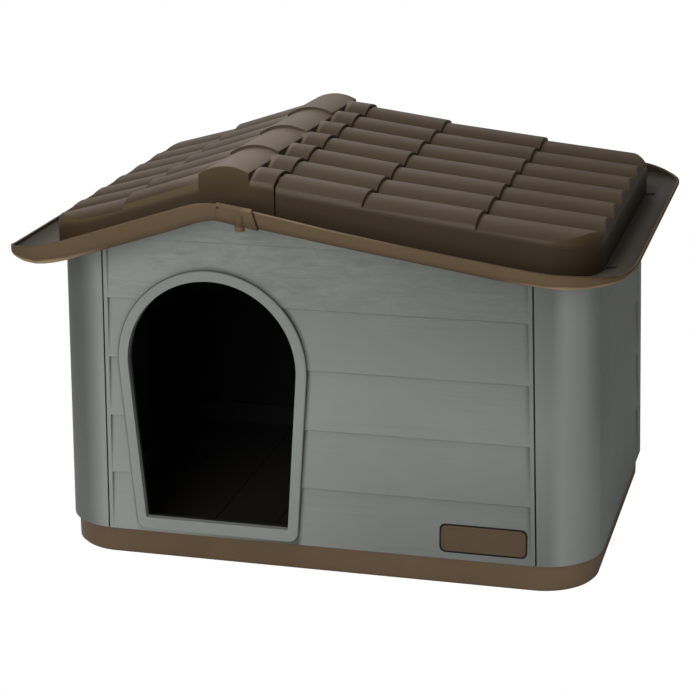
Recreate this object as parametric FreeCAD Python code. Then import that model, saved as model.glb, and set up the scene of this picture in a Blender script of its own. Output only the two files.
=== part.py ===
import FreeCAD, Part
import math
import os

# Outdoor cat house moulded in plastic: a floor tray, four clip-together walls and a
# tiled roof in two mouldings. The larger roof moulding is a lid on a hidden hinge.
# X runs to the right along the front, Y runs from the front to the rear, Z is up.
# The origin is on the ground under the middle of the walls.

# Driving sizes of the floor tray
tray_half_x = 272.0
tray_half_y = 194.6
tray_height = 28.0
tray_corner = 56.0
tray_wall = 3.0
tray_foot_bevel = 2.5
ledge_width = 14.0
ledge_thickness = 3.5
upstand_height = 7.0
floor_top = 12.0
floor_thickness = 3.0
groove_pitch = 66.5
groove_width = 4.0
groove_depth = 1.0
under_rib_count = 5

# Driving sizes of the walls
wall_overhang = 4.4
wall_corner = 60.0
wall_draft = 0.024
wall_thickness = 4.8
wall_foot_width = 9.0
wall_foot_thickness = 3.0
seam_half_x = 219.7
seam_gap = 1.4
tongue_width = 11.0
tongue_thickness = 2.2
tongue_gap = 0.2
board_pitch = 61.15
board_count = 5
board_recess = 2.7
board_margin = 4.8
side_board_front = 151.0
side_board_rear = 120.0
roof_gap = 0.3

# Driving sizes of the doorway
door_x = -103.5
door_radius = 86.4
door_centre_z = 209.0
door_taper = 4.2
door_sill_z = 44.0
door_corner = 1.5
frame_corner = 8.0
frame_width = 10.5
frame_sill = 13.0
frame_proud = 3.0
frame_bevel = 1.0
reveal_depth = 8.5
reveal_thickness = 3.0

# Driving sizes of the name plate and its recess
plate_seam_gap = 9.0
plate_z = 49.6
recess_length = 86.4
recess_height = 29.2
recess_corner = 6.0
recess_depth = 2.6
recess_backing = 3.0
plate_x = seam_half_x - plate_seam_gap - recess_length / 2
plate_gap = 1.5
plate_thickness = 2.0
plate_rim = 2.2
plate_dish = 0.6

# Height of the lowest point of the brim. Heights named "rise" are measured from here.
roof_foot_z = 310.0

# Driving sizes of the air slots high in the rear wall
slot_count = 4
slot_length = 46.0
slot_height = 6.0
slot_pitch = 14.0
slot_x = -60.0
slot_rise = 12.0

# Driving sizes of the roof box
skirt_past_x = 1.0
skirt_past_y = 4.0
skirt_half_x = tray_half_x + skirt_past_x
skirt_half_y = tray_half_y + skirt_past_y
skirt_corner = 48.0
roof_wall = 2.4
ridge_line_x = -86.0
form_ridge_rise = 95.6
eave_left_rise = 36.6
eave_right_rise = 46.2
eave_round = 15.0
eave_bevel = 9.0

# Driving sizes of the roof seam and the tiles
roof_seam_x = -35.5
roof_seam_gap = 1.0
tuck_depth = 6.5
tile_count = 7
tile_rise = 7.0
left_step_x = -189.0
right_step_x = 49.9
lower_step_x = 158.3
row_end_x = 280.0
cover_lap = 3.0

# Valley lines of the tile rows: x and rise of the upper end, x and rise of the lower end
left_rows = [
    (ridge_line_x, 88.0, left_step_x, 54.6),
    (left_step_x, 50.5, -row_end_x, 26.0),
]
cover_row = (ridge_line_x, 88.0, roof_seam_x, 82.5)
right_rows = [
    (roof_seam_x, 79.6, right_step_x, 68.0),
    (right_step_x, 65.0, lower_step_x, 53.0),
    (lower_step_x, 49.5, row_end_x, 37.0),
]

# Driving sizes of the ridge tiles
ridge_left_x = -110.5
ridge_right_x = -60.0
ridge_crest_x = -84.0
ridge_foot_rise = 62.0
ridge_left_rise = 90.5
ridge_crest_rise = 99.5
ridge_right_rise = 93.5
ridge_tile_count = 4
ridge_tile_drop = 3.5
ridge_front_reach = 1.0

# Driving sizes of the brim, its gutter and its edge band
gutter_reach_x = 31.4
gutter_reach_y = 48.1
brim_half_x = skirt_half_x + gutter_reach_x
brim_half_y = skirt_half_y + gutter_reach_y
brim_corner_left = 50.0
brim_corner_front_right = 94.0
brim_corner_rear_right = 64.0
brim_thickness = 2.8
band_thickness = 3.2
gutter_climb = 6.5

# Underside of the brim beside the roof box, as x and rise
gutter_line = [
    (-310.0, 11.0),
    (-303.0, 8.8),
    (-290.0, 4.8),
    (-276.0, 1.2),
    (-262.0, 0.0),
    (-252.0, 0.6),
    (-242.0, 2.3),
    (-230.0, 5.3),
    (-125.0, 39.1),
    (-112.0, 43.8),
    (-101.0, 47.7),
    (-91.0, 50.4),
    (-81.0, 52.0),
    (-70.0, 51.7),
    (-56.0, 49.2),
    (32.0, 34.5),
    (189.0, 10.0),
    (215.0, 6.8),
    (232.0, 4.9),
    (247.0, 3.5),
    (265.0, 3.8),
    (283.0, 5.7),
    (297.0, 9.4),
    (310.0, 14.8),
]

# Crest of the edge band, before the climb of the gutter, as x and rise
crest_line = [
    (-310.0, 12.5),
    (-290.0, 13.8),
    (-272.0, 16.0),
    (-258.0, 18.0),
    (-246.0, 20.6),
    (-112.5, 63.4),
    (-98.0, 67.4),
    (-82.8, 68.4),
    (-66.0, 66.6),
    (-39.0, 62.0),
    (32.0, 48.6),
    (98.4, 37.6),
    (191.0, 23.7),
    (215.0, 20.3),
    (238.0, 17.4),
    (258.0, 16.1),
    (276.0, 14.7),
    (290.0, 13.6),
    (298.0, 14.2),
    (310.0, 17.6),
]

# Driving sizes of the sleeve that joins the two halves of the front gutter
sleeve_left_x = -77.0
sleeve_left_rise = 58.9
sleeve_top_rise = 75.6
sleeve_end_top_x = -43.0
sleeve_end_top_rise = 70.6
sleeve_end_foot_x = -37.0
sleeve_end_foot_rise = 51.0
sleeve_proud = 1.4
post_x = -55.0
post_radius = 4.8
post_foot_rise = 49.5
post_length = 15.0
post_proud = 2.6

# Driving sizes of the hinge
hinge_x = -30.0
hinge_rise = 79.0
hinge_z = roof_foot_z + hinge_rise
hinge_y = skirt_half_y - skirt_half_y / tile_count
hinge_ear_radius = 4.0
hinge_arm_thickness = 6.0
hinge_ear_thickness = 4.0
hinge_side_gap = 0.5
hinge_pin_radius = 2.2
hinge_running_gap = 0.05
arm_left_x = -54.0
arm_width = 8.0
arm_foot_rise = 62.0
notch_margin = 1.0

# Driving sizes of the drain slots in the brim
drain_length = 8.0
drain_width = 6.0
drain_past_x = 5.5
drain_inset_y = 47.6
drain_x = skirt_half_x + drain_past_x
drain_y = skirt_half_y - drain_inset_y

# Reach of cutting bodies past what they cut
nick = 1.0
past = 40.0
high_z = 470.0
low_z = 200.0


def place(plane, a, b, level):
    if plane == "xy":
        return FreeCAD.Vector(a, b, level)
    if plane == "xz":
        return FreeCAD.Vector(a, level, b)
    return FreeCAD.Vector(level, a, b)


def outline(plane, level, path):
    # A step of two numbers is a straight edge, a step of four is an arc through
    # the first pair to the second.
    edges = []
    here = place(plane, path[0][-2], path[0][-1], level)
    for step in path[1:] + [path[0][-2:]]:
        end = place(plane, step[-2], step[-1], level)
        if len(step) == 4:
            middle = place(plane, step[0], step[1], level)
            edges.append(Part.Arc(here, middle, end).toShape())
        elif here.distanceToPoint(end) > 1e-6:
            edges.append(Part.LineSegment(here, end).toShape())
        here = end
    return Part.Wire(edges)


def prism(plane, level, path, travel):
    return Part.Face(outline(plane, level, path)).extrude(FreeCAD.Vector(*travel))


def block(x0, x1, y0, y1, z0, z1):
    return Part.makeBox(x1 - x0, y1 - y0, z1 - z0, FreeCAD.Vector(x0, y0, z0))


def join(shapes):
    whole = shapes[0]
    if len(shapes) > 1:
        whole = shapes[0].multiFuse(shapes[1:])
    return whole.removeSplitter()


def corner_point(x, y, radius, sign_x, sign_y):
    # Middle of a quarter arc that rounds the corner at (x, y)
    slack = radius * (1.0 - math.sqrt(0.5))
    return x - sign_x * slack, y - sign_y * slack


def rounded_plan(x0, x1, half_y, r0, r1, r2):
    # Rectangle with corners rounded by r0 on the left, r1 front right and r2 rear right
    return [
        (x0 + r0, -half_y),
        (x1 - r1, -half_y),
        corner_point(x1, -half_y, r1, 1, -1) + (x1, -half_y + r1),
        (x1, half_y - r2),
        corner_point(x1, half_y, r2, 1, 1) + (x1 - r2, half_y),
        (x0 + r0, half_y),
        corner_point(x0, half_y, r0, -1, 1) + (x0, half_y - r0),
        (x0, -half_y + r0),
        corner_point(x0, -half_y, r0, -1, -1) + (x0 + r0, -half_y),
    ]


def rounded_block(half_x, half_y, corner, z0, z1):
    path = rounded_plan(-half_x, half_x, half_y, corner, corner, corner)
    return prism("xy", z0, path, (0, 0, z1 - z0))


def make_base_tray():
    def inset(amount, z0, z1):
        half_x = tray_half_x - amount
        half_y = tray_half_y - amount
        return rounded_block(half_x, half_y, tray_corner - amount, z0, z1)

    body = inset(0, 0, tray_height)
    foot_edges = [e for e in body.Edges if e.BoundBox.ZMax < 1e-6]
    body = body.makeChamfer(tray_foot_bevel, foot_edges)
    pocket = ledge_width + tray_wall
    upstand = inset(ledge_width, floor_top, tray_height + upstand_height)
    body = join([body, upstand])
    body = body.cut(inset(pocket, floor_top, high_z))
    body = body.cut(inset(pocket, -past, floor_top - floor_thickness))
    channel = inset(tray_wall, -past, tray_height - ledge_thickness)
    channel = channel.cut(inset(ledge_width, -2 * past, high_z))
    body = body.cut(channel)
    grooves = []
    count = int((tray_half_x - pocket - groove_width) / groove_pitch)
    for k in range(-count, count + 1):
        x = k * groove_pitch
        half_y = tray_half_y - pocket - groove_width
        if abs(x) > tray_half_x - tray_corner:
            half_y -= tray_corner / 2
        groove = block(x - groove_width / 2, x + groove_width / 2, -half_y, half_y,
                       floor_top - groove_depth, floor_top + nick)
        grooves.append(groove)
    body = body.cut(Part.makeCompound(grooves))
    ribs = []
    under = floor_top - floor_thickness
    long_half = tray_half_x - tray_foot_bevel
    short_half = tray_half_y - tray_foot_bevel
    ribs.append(block(-long_half, long_half, -tray_wall / 2, tray_wall / 2, 0, under))
    for k in range(under_rib_count):
        x = (k + 1) * 2 * tray_half_x / (under_rib_count + 1) - tray_half_x
        ribs.append(block(x - tray_wall / 2, x + tray_wall / 2, -short_half, short_half, 0, under))
    return join([body] + ribs)


def wall_half_x(z):
    return tray_half_x + wall_overhang - wall_draft * (z - tray_height)


def seam_x(z):
    return seam_half_x - wall_draft * (z - tray_height)


def lean_about(shape, x, z, rise_per_run):
    # The shape turned about the Y direction, so that what ran along X climbs
    centre = FreeCAD.Vector(x, 0, z)
    return shape.rotated(centre, FreeCAD.Vector(0, 1, 0), -math.degrees(math.atan(rise_per_run)))


def wall_block(inset):
    # Outer form of the four walls, drawn in by the inset: each half leans inwards
    half_x = tray_half_x + wall_overhang - inset
    half_y = tray_half_y + wall_overhang - inset
    upright = rounded_block(half_x, half_y, wall_corner - inset, tray_height - past, high_z)
    halves = []
    for sign in (-1, 1):
        leaning = lean_about(upright, sign * half_x, tray_height, sign * wall_draft)
        x0, x1 = sorted((0, 2 * sign * tray_half_x))
        halves.append(leaning.common(block(x0, x1, -2 * tray_half_y, 2 * tray_half_y,
                                           tray_height, high_z - past)))
    return join(halves)


def between_seams(extra, y0, y1):
    # Upright slab between the two wall seams, widened by the extra
    low = seam_x(tray_height) + extra
    high = seam_x(high_z) + extra
    path = [(-low, tray_height), (low, tray_height), (high, high_z), (-high, high_z)]
    return prism("xz", y0, path, (0, y1 - y0, 0))


def risen(points, extra=0.0):
    return [(x, roof_foot_z + rise + extra) for x, rise in points]


def under_gutter(gap):
    # Room under the brim, less the gap
    half_y = brim_half_y + past
    path = risen(gutter_line, -gap)
    path += [(gutter_line[-1][0], 0.0), (gutter_line[0][0], 0.0)]
    return prism("xz", -half_y, path, (0, 2 * half_y, 0))


def wall_shell():
    skin = wall_block(0).cut(wall_block(wall_thickness))
    foot = wall_block(0).cut(wall_block(wall_thickness + wall_foot_width))
    foot_slab = block(-2 * tray_half_x, 2 * tray_half_x, -2 * tray_half_y, 2 * tray_half_y,
                      tray_height, tray_height + wall_foot_thickness)
    return skin.fuse(foot.common(foot_slab)).common(under_gutter(roof_gap))


def end_boards(sign):
    # Wedges cut from the front or rear wall, one for each lapped board
    face_y = tray_half_y + wall_overhang
    wedges = []
    for k in range(board_count + 1):
        z0 = tray_height + k * board_pitch
        z1 = z0 + board_pitch
        path = [(sign * (face_y + nick), z0), (sign * face_y, z0),
                (sign * (face_y - board_recess), z1), (sign * (face_y + nick), z1)]
        wedges.append(prism("yz", -tray_half_x, path, (2 * tray_half_x, 0, 0)))
    slab = between_seams(-board_margin, -2 * tray_half_y, 2 * tray_half_y)
    return [wedge.common(slab) for wedge in wedges]


def side_boards(sign):
    wedges = []
    for k in range(board_count):
        z0 = tray_height + k * board_pitch
        z1 = z0 + board_pitch
        x0 = wall_half_x(z0)
        x1 = wall_half_x(z1)
        path = [(sign * (x0 + nick), z0), (sign * x0, z0),
                (sign * (x1 - board_recess), z1), (sign * (x1 + nick), z1)]
        depth = side_board_front + side_board_rear
        wedges.append(prism("xz", -side_board_front, path, (0, depth, 0)))
    return wedges


def door_path(grow, sill_z, corner):
    # Round-headed doorway with drawn-in jambs, grown outwards by an even width
    lean = math.radians(door_taper)
    radius = door_radius + grow
    spring_x = radius * math.cos(lean)
    spring_z = door_centre_z - radius * math.sin(lean)
    foot_x = spring_x - (spring_z - sill_z) * math.tan(lean)
    turn = math.pi / 2 + lean
    back = corner * math.tan(turn / 2)
    up_x = foot_x + back * math.sin(lean)
    up_z = sill_z + back * math.cos(lean)
    centre_x = foot_x - back
    middle = math.pi / 2 - turn / 2
    arc_x = centre_x + corner * math.cos(middle)
    arc_z = sill_z + corner - corner * math.sin(middle)
    return [
        (door_x - centre_x, sill_z),
        (door_x + centre_x, sill_z),
        (door_x + arc_x, arc_z, door_x + up_x, up_z),
        (door_x + spring_x, spring_z),
        (door_x, door_centre_z + radius, door_x - spring_x, spring_z),
        (door_x - up_x, up_z),
        (door_x - arc_x, arc_z, door_x - centre_x, sill_z),
    ]


def add_doorway(wall):
    face_y = -(tray_half_y + wall_overhang)
    inner_y = face_y + wall_thickness
    proud_y = face_y - frame_proud
    outer = door_path(frame_width, door_sill_z - frame_sill, frame_corner)
    frame = prism("xz", proud_y, outer, (0, inner_y - proud_y, 0))
    rim_edges = [e for e in frame.Edges if abs(e.BoundBox.YMax - proud_y) < 1e-6]
    frame = frame.makeChamfer(frame_bevel, rim_edges)
    sleeve = door_path(reveal_thickness, door_sill_z - reveal_thickness, door_corner)
    reveal = prism("xz", face_y, sleeve, (0, reveal_depth, 0))
    hole = door_path(0, door_sill_z, door_corner)
    opening = prism("xz", proud_y - past, hole, (0, 2 * past, 0))
    return join([wall, frame, reveal]).cut(opening)


def plate_block(shrink, y0, y1):
    half_x = recess_length / 2 - shrink
    half_z = recess_height / 2 - shrink
    corner = recess_corner - shrink / 2
    path = rounded_plan(-half_x, half_x, half_z, corner, corner, corner)
    placed = [tuple(v + (plate_x, plate_z)[i % 2] for i, v in enumerate(step)) for step in path]
    return prism("xz", y0, placed, (0, y1 - y0, 0))


def recess_floor_y():
    return -(tray_half_y + wall_overhang) + recess_depth


def add_plate_recess(wall):
    face_y = -(tray_half_y + wall_overhang)
    floor_y = recess_floor_y()
    backing = plate_block(-recess_backing, face_y + wall_thickness / 2, floor_y + recess_backing)
    clear_of_tongue = seam_gap / 2 + tongue_width + tongue_gap
    backing = backing.common(between_seams(-clear_of_tongue, -2 * tray_half_y, 0))
    recess = plate_block(0, face_y - past, floor_y)
    return join([wall, backing]).cut(recess)


def make_name_plate():
    floor_y = recess_floor_y()
    front_y = floor_y - plate_thickness
    plate = plate_block(plate_gap, front_y, floor_y)
    dish = plate_block(plate_gap + plate_rim, front_y - past, front_y + plate_dish)
    return plate.cut(dish)


def make_front_wall(shell):
    y1 = -tray_half_y + wall_thickness + wall_foot_width
    wall = shell.common(between_seams(-seam_gap / 2, -2 * tray_half_y, y1))
    for wedge in end_boards(-1):
        wall = wall.cut(wedge)
    wall = add_doorway(wall)
    return add_plate_recess(wall)


def make_rear_wall(shell):
    y0 = tray_half_y - wall_thickness - wall_foot_width
    wall = shell.common(between_seams(-seam_gap / 2, y0, 2 * tray_half_y))
    for wedge in end_boards(1):
        wall = wall.cut(wedge)
    slots = []
    end = slot_height / 2
    for k in range(slot_count):
        z = roof_foot_z + slot_rise - k * slot_pitch
        half = slot_length / 2 - end
        path = [(slot_x - half, z - end), (slot_x + half, z - end),
                (slot_x + half + end, z, slot_x + half, z + end),
                (slot_x - half, z + end),
                (slot_x - half - end, z, slot_x - half, z - end)]
        slots.append(prism("xz", y0 - past, path, (0, 3 * past, 0)))
    return wall.cut(Part.makeCompound(slots))


def make_side_wall(shell, sign):
    # Side panel with both round corners, and a tongue behind each end wall
    wide = between_seams(seam_gap / 2, -2 * tray_half_y, 2 * tray_half_y)
    half = block(0, 2 * tray_half_x, -2 * tray_half_y, 2 * tray_half_y, 0, high_z)
    if sign < 0:
        half = block(-2 * tray_half_x, 0, -2 * tray_half_y, 2 * tray_half_y, 0, high_z)
    wall = shell.cut(wide).common(half)
    for wedge in side_boards(sign):
        wall = wall.cut(wedge)
    depth = wall_thickness + tongue_gap
    lining = wall_block(depth).cut(wall_block(depth + tongue_thickness))
    behind = between_seams(seam_gap / 2 + tongue_width, -2 * tray_half_y, 2 * tray_half_y)
    lining = lining.common(behind.cut(between_seams(-tongue_width, -2 * tray_half_y, 2 * tray_half_y)))
    above_foot = block(-2 * tray_half_x, 2 * tray_half_x, -2 * tray_half_y, 2 * tray_half_y,
                       tray_height + wall_foot_thickness + tongue_gap, high_z)
    lining = lining.common(above_foot).common(under_gutter(roof_gap)).common(half)
    bridge = wall_block(wall_thickness - tongue_gap).cut(wall_block(depth + tongue_gap))
    bridge_slab = between_seams(seam_gap / 2 + tongue_width, -2 * tray_half_y, 2 * tray_half_y)
    bridge = bridge.common(bridge_slab.cut(wide)).common(above_foot)
    bridge = bridge.common(under_gutter(roof_gap)).common(half)
    return join([wall, bridge, lining])


def row_height(row, x):
    # Height of the valley line of a tile row at x
    x0, rise0, x1, rise1 = row
    return roof_foot_z + rise0 + (rise1 - rise0) * (x - x0) / (x1 - x0)


def tiled_row(row, lower, plain=False):
    # One row of barrel tiles: arcs side by side, run down the slope of the row. The
    # plain form has three flats in place of each arc, for the hidden side.
    x0, x1 = sorted((row[0], row[2]))
    z0 = row_height(row, x0) - lower
    z1 = row_height(row, x1) - lower
    pitch = 2 * skirt_half_y / tile_count
    path = [(-skirt_half_y - past, z0), (-skirt_half_y, z0)]
    for k in range(tile_count):
        y = -skirt_half_y + k * pitch
        if plain:
            flat_z = z0 + 0.75 * tile_rise
            path += [(y + pitch / 4, flat_z), (y + 3 * pitch / 4, flat_z), (y + pitch, z0)]
        else:
            path.append((y + pitch / 2, z0 + tile_rise, y + pitch, z0))
    path += [(skirt_half_y + past, z0)]
    path += [(skirt_half_y + past, low_z - 2 * past), (-skirt_half_y - past, low_z - 2 * past)]
    strip = prism("yz", x0 - past, path, (x1 - x0 + 2 * past, 0, 0))
    strip = lean_about(strip, x0, z0, (z1 - z0) / (x1 - x0))
    return strip.common(block(x0, x1, -skirt_half_y - past, skirt_half_y + past, low_z, high_z))


def ridge_tiles(lower, inset):
    # Ridge tiles in a line, each dropping to the rear under the lip of the next. The
    # drawn-in ones, which hollow them, have flat slopes.
    length = (2 * skirt_half_y + ridge_front_reach) / ridge_tile_count
    tiles = []
    for k in range(ridge_tile_count):
        y = -skirt_half_y - ridge_front_reach + k * length + inset
        path = risen([
            (ridge_left_x + inset, ridge_foot_rise),
            (ridge_right_x - inset, ridge_foot_rise),
            (ridge_right_x - inset, ridge_right_rise),
            (ridge_crest_x, ridge_crest_rise),
            (ridge_left_x + inset, ridge_left_rise),
        ], -lower)
        if inset == 0:
            path[3:] = [path[3] + path[4]]
        tile = prism("xz", y, path, (0, length, 0))
        drop = -math.degrees(math.atan(ridge_tile_drop / length))
        pivot = FreeCAD.Vector(0, y, roof_foot_z + ridge_right_rise - lower)
        tiles.append(tile.rotated(pivot, FreeCAD.Vector(1, 0, 0), drop))
    return tiles


def skirt_block(inset):
    # Upright block over the plan of the roof box
    return rounded_block(skirt_half_x - inset, skirt_half_y - inset, skirt_corner - inset,
                         low_z, high_z)


def slope_form(sign, inset, rise=0):
    # Plain form of one roof slope over the plan of the roof box. Its eaves are rounded
    # outside, and bevelled on the drawn-in form that hollows it.
    eave_rise = eave_left_rise if sign < 0 else eave_right_rise
    eave_x = sign * skirt_half_x
    far_x = 2 * eave_x
    pitch = (eave_rise - form_ridge_rise) / (eave_x - ridge_line_x)

    def top_z(x):
        return roof_foot_z + form_ridge_rise + rise + pitch * (x - ridge_line_x) - inset

    path = [(ridge_line_x, low_z), (far_x, low_z), (far_x, top_z(far_x)), (ridge_line_x, top_z(ridge_line_x))]
    wedge = prism("xz", -skirt_half_y - past, path, (0, 2 * (skirt_half_y + past), 0))
    form = wedge.common(skirt_block(inset))
    eaves = []
    for edge in form.Edges:
        at = edge.CenterOfMass
        on_top = all(abs(v.Z - top_z(v.X)) < 0.01 for v in edge.Vertexes)
        if on_top and abs(at.x - ridge_line_x) > 0.01:
            eaves.append(edge)
    if inset > 0:
        return form.makeChamfer(eave_bevel, eaves)
    return form.makeFillet(eave_round, eaves)


def shorten(row, amount):
    # The same row with its lower end drawn uphill, for the thickness of a riser
    x0, z0, x1, z1 = row
    part = 1.0 - amount / abs(x1 - x0)
    return x0, z0, x0 + (x1 - x0) * part, z0 + (z1 - z0) * part


def lengthen(row, amount):
    # The same row with its upper end carried uphill under the row above
    x0, z0, x1, z1 = row
    part = amount / abs(x1 - x0)
    return x0 - (x1 - x0) * part, z0 - (z1 - z0) * part, x1, z1


def sheet_between(lower, upper):
    # Band of the side view between two lines, run along the roof; past the roof
    # box it climbs outwards as the gutter does.
    path = lower + upper[::-1]
    over = gutter_reach_y + sleeve_proud
    climb = gutter_climb * over / gutter_reach_y
    middle = prism("xz", -skirt_half_y, path, (0, 2 * skirt_half_y, 0))
    front = prism("xz", -skirt_half_y, path, (0, -over, climb))
    rear = prism("xz", skirt_half_y, path, (0, over, climb))
    return join([middle, front, rear])


def brim_prism(inset):
    path = rounded_plan(inset - brim_half_x, brim_half_x - inset, brim_half_y - inset,
                        brim_corner_left - inset, brim_corner_front_right - inset,
                        brim_corner_rear_right - inset)
    return prism("xy", low_z, path, (0, 0, high_z - low_z))


def make_brim():
    upper = risen(gutter_line, brim_thickness)
    floor = sheet_between(risen(gutter_line), upper).common(brim_prism(0))
    floor = floor.cut(skirt_block(roof_wall))
    band = sheet_between(risen(gutter_line), risen(crest_line))
    band = band.common(brim_prism(0).cut(brim_prism(band_thickness)))
    brim = join([floor, band])
    drains = []
    for y in (-drain_y, drain_y):
        drains.append(block(drain_x - drain_length / 2, drain_x + drain_length / 2,
                            y - drain_width / 2, y + drain_width / 2, low_z, high_z))
    return brim.cut(Part.makeCompound(drains))


def left_of_seam(gap):
    # Everything left of the roof seam, with the slanted end of the sleeve in front
    front_y = -(brim_half_y - band_thickness - nick)
    left_x = -brim_half_x - past
    edge = roof_seam_x - gap
    rest = block(left_x, edge, front_y, brim_half_y + past, low_z, high_z)
    top_z = roof_foot_z + sleeve_end_top_rise
    foot_z = roof_foot_z + sleeve_end_foot_rise
    lean = (sleeve_end_foot_x - sleeve_end_top_x) / (top_z - foot_z)
    high = sleeve_end_top_x - lean * (high_z - top_z) - gap
    low = sleeve_end_foot_x + lean * (foot_z - low_z) - gap
    path = [(left_x, low_z), (low, low_z), (high, high_z), (left_x, high_z)]
    front = prism("xz", front_y, path, (0, -(brim_half_y + past + front_y), 0))
    return rest.fuse(front)


def make_sleeve():
    outer_y = -(brim_half_y + sleeve_proud)
    depth = band_thickness + sleeve_proud
    path = risen([
        (sleeve_left_x, sleeve_left_rise),
        (sleeve_end_foot_x, sleeve_end_foot_rise),
        (sleeve_end_top_x, sleeve_end_top_rise),
        (sleeve_left_x, sleeve_top_rise),
    ])
    sleeve = prism("xz", outer_y, path, (0, depth, 0))
    post_y = -(brim_half_y - post_radius + sleeve_proud + post_proud)
    post = Part.makeCylinder(post_radius, post_length,
                             FreeCAD.Vector(post_x, post_y, roof_foot_z + post_foot_rise))
    return join([sleeve, post])


def hinge_arm(y):
    # Goose-neck arm that hangs from the fixed roof and comes up under the lid
    pin_left = hinge_x - hinge_ear_radius
    pin_right = hinge_x + hinge_ear_radius
    foot_z = roof_foot_z + arm_foot_rise
    top_z = row_height(cover_row, arm_left_x + arm_width) + tile_rise - roof_wall / 2
    path = [
        (arm_left_x, top_z),
        (arm_left_x, foot_z),
        (pin_right, foot_z),
        (pin_right, hinge_z),
        (hinge_x, hinge_z + hinge_ear_radius, pin_left, hinge_z),
        (pin_left, foot_z + arm_width),
        (arm_left_x + arm_width, foot_z + arm_width),
        (arm_left_x + arm_width, top_z),
    ]
    y0 = y - hinge_arm_thickness / 2
    arm = prism("xz", y0, path, (0, hinge_arm_thickness, 0))
    bore = Part.makeCylinder(hinge_pin_radius + hinge_running_gap, hinge_arm_thickness,
                             FreeCAD.Vector(hinge_x, y0, hinge_z), FreeCAD.Vector(0, 1, 0))
    return arm.cut(bore)


def lid_ear(y):
    # Ear of the lid beside the hinge arm at y, on its side towards the middle
    inward = -1 if y > 0 else 1
    near_y = y + inward * (hinge_arm_thickness / 2 + hinge_side_gap)
    right_x = hinge_x + hinge_ear_radius
    left_x = hinge_x - hinge_ear_radius
    top_z = row_height(right_rows[0], right_x) + tile_rise - roof_wall / 2
    path = [
        (left_x, hinge_z),
        (hinge_x, hinge_z - hinge_ear_radius, right_x, hinge_z),
        (right_x, top_z),
        (left_x, top_z),
    ]
    depth = (0, inward * hinge_ear_thickness, 0)
    ear = prism("xz", near_y, path, depth)
    bore = Part.makeCylinder(hinge_pin_radius, hinge_ear_thickness,
                             FreeCAD.Vector(hinge_x, near_y, hinge_z), FreeCAD.Vector(*depth))
    return ear.cut(bore)


def make_hinge_pins():
    # Each pin reaches from the outer side of its arm to the far side of its ear
    length = hinge_arm_thickness + hinge_side_gap + hinge_ear_thickness
    pins = []
    for side in (-1, 1):
        start = FreeCAD.Vector(hinge_x, side * (hinge_y + hinge_arm_thickness / 2), hinge_z)
        pins.append(Part.makeCylinder(hinge_pin_radius, length, start, FreeCAD.Vector(0, -side, 0)))
    return Part.makeCompound(pins)


def make_roof_left(brim):
    outer = join([tiled_row(row, 0) for row in left_rows]).common(slope_form(-1, 0))
    cover = tiled_row(cover_row, 0).common(slope_form(1, 0, cover_lap))
    ridge = [tile.common(skirt_block(0)) for tile in ridge_tiles(0, 0)]
    outer = join([outer, cover] + ridge)
    upper = tiled_row(shorten(left_rows[0], roof_wall), roof_wall, True)
    lower = tiled_row(lengthen(left_rows[1], roof_wall), roof_wall, True)
    inner = join([upper, lower]).common(slope_form(-1, roof_wall))
    cover = tiled_row(cover_row, roof_wall).common(slope_form(1, roof_wall, cover_lap))
    ridge = [tile.common(skirt_block(roof_wall)) for tile in ridge_tiles(roof_wall, roof_wall)]
    inner = join([inner, cover] + ridge)
    box = outer.cut(under_gutter(0)).cut(inner)
    box = box.common(left_of_seam(0))
    flange = brim.common(left_of_seam(0))
    arms = [hinge_arm(-hinge_y), hinge_arm(hinge_y)]
    return join([box, flange, make_sleeve()] + arms)


def make_roof_right(brim):
    outer = []
    inner = []
    for k, row in enumerate(right_rows):
        outer.append(tiled_row(row, 0))
        short = row
        if k + 1 < len(right_rows):
            short = shorten(row, roof_wall)
        if k > 0:
            short = lengthen(short, roof_wall)
        inner.append(tiled_row(short, roof_wall, k > 0))
    outer = join(outer).common(slope_form(1, 0))
    inner = join(inner).common(slope_form(1, roof_wall))
    box = outer.cut(under_gutter(0)).cut(inner)
    box = box.cut(left_of_seam(-roof_seam_gap))
    tuck = lengthen(right_rows[0], tuck_depth)
    strip = tiled_row(tuck, 0).cut(tiled_row(tuck, roof_wall))
    inside = skirt_half_y - eave_round
    tuck_x = roof_seam_x - tuck_depth
    strip = strip.common(block(tuck_x, roof_seam_x + roof_wall, -inside, inside, low_z, high_z))
    for y in (-hinge_y, hinge_y):
        half = hinge_arm_thickness / 2 + notch_margin
        strip = strip.cut(block(tuck_x - nick, roof_seam_x + roof_seam_gap, y - half, y + half,
                                low_z, high_z))
    flange = brim.cut(left_of_seam(-roof_seam_gap))
    return join([box, strip, flange, lid_ear(-hinge_y), lid_ear(hinge_y)])


def main():
    os.makedirs("parts", exist_ok=True)
    shell = wall_shell()
    brim = make_brim()
    parts = {
        "base_tray": make_base_tray(),
        "front_wall": make_front_wall(shell),
        "rear_wall": make_rear_wall(shell),
        "left_wall": make_side_wall(shell, -1),
        "right_wall": make_side_wall(shell, 1),
        "name_plate": make_name_plate(),
        "roof_left": make_roof_left(brim),
        "roof_right": make_roof_right(brim),
        "hinge_pins": make_hinge_pins(),
    }
    for name, shape in parts.items():
        box = shape.BoundBox
        print(name, len(shape.Solids), "solid(s)", "valid" if shape.isValid() else "NOT VALID",
              "volume %.0f" % shape.Volume,
              "x %.1f %.1f y %.1f %.1f z %.1f %.1f" % (box.XMin, box.XMax, box.YMin, box.YMax,
                                                       box.ZMin, box.ZMax))
        shape.exportStep("parts/%s.step" % name)


main()
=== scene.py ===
import bpy
import math
from mathutils import Matrix, Vector

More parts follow.
